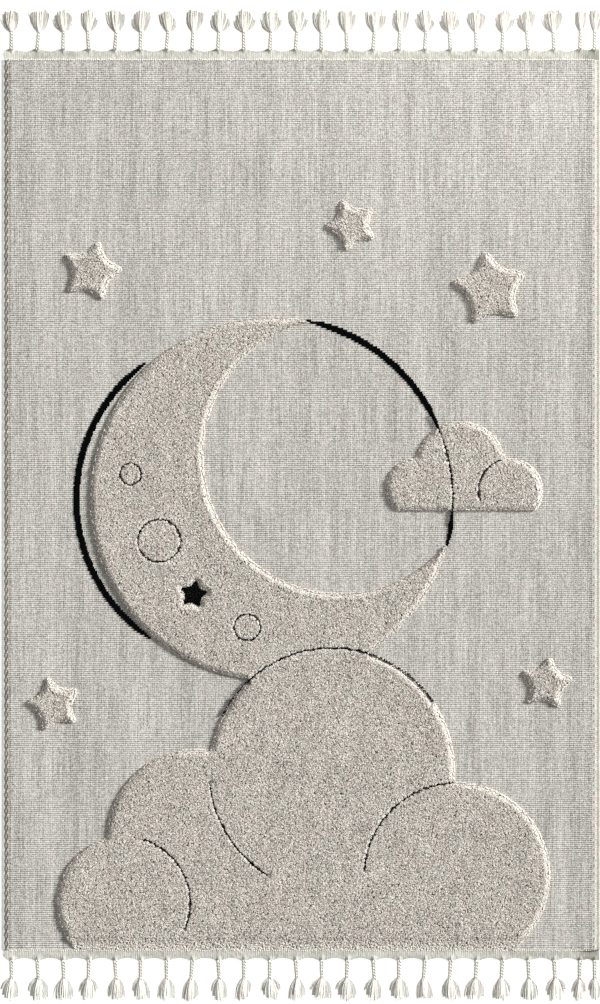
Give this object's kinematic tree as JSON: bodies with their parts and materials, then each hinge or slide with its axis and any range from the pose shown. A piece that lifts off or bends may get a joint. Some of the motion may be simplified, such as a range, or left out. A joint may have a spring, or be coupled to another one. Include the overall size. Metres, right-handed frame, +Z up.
{
  "type": "kids rug with raised pile figures and tassel fringe",
  "caption": "Flat rectangular woven kids rug with high cut-pile moon, clouds and stars on a low ribbed ground, woven headings, overcast sides and braided tassels at both ends.",
  "frame": {"origin": "on the floor under the middle of the rug, centre of the bounding box's bottom face", "axes": "+X to the right across the rug, +Y along it from the cloud bank towards the bare end, +Z up out of the pile"},
  "size_m": [1.007, 1.6688, 0.013],
  "materials": {
    "field": "matte low ribbed loop weave, light warm grey, with high cut pile",
    "heading": "flat plain weave, cream",
    "dark_binding": "wrapped overcast yarn, grey brown",
    "pale_binding": "wrapped overcast yarn, cream",
    "tassel_yarn": "soft matte cotton-like yarn, off white"
  },
  "bodies": {
    "root": {"rug_body": "field", "end_band_top": "heading", "end_band_bottom": "heading", "side_binding_left": "dark_binding", "side_binding_right": "pale_binding", "fringe_top": "tassel_yarn", "fringe_bottom": "tassel_yarn"}
  },
  "joints": []
}
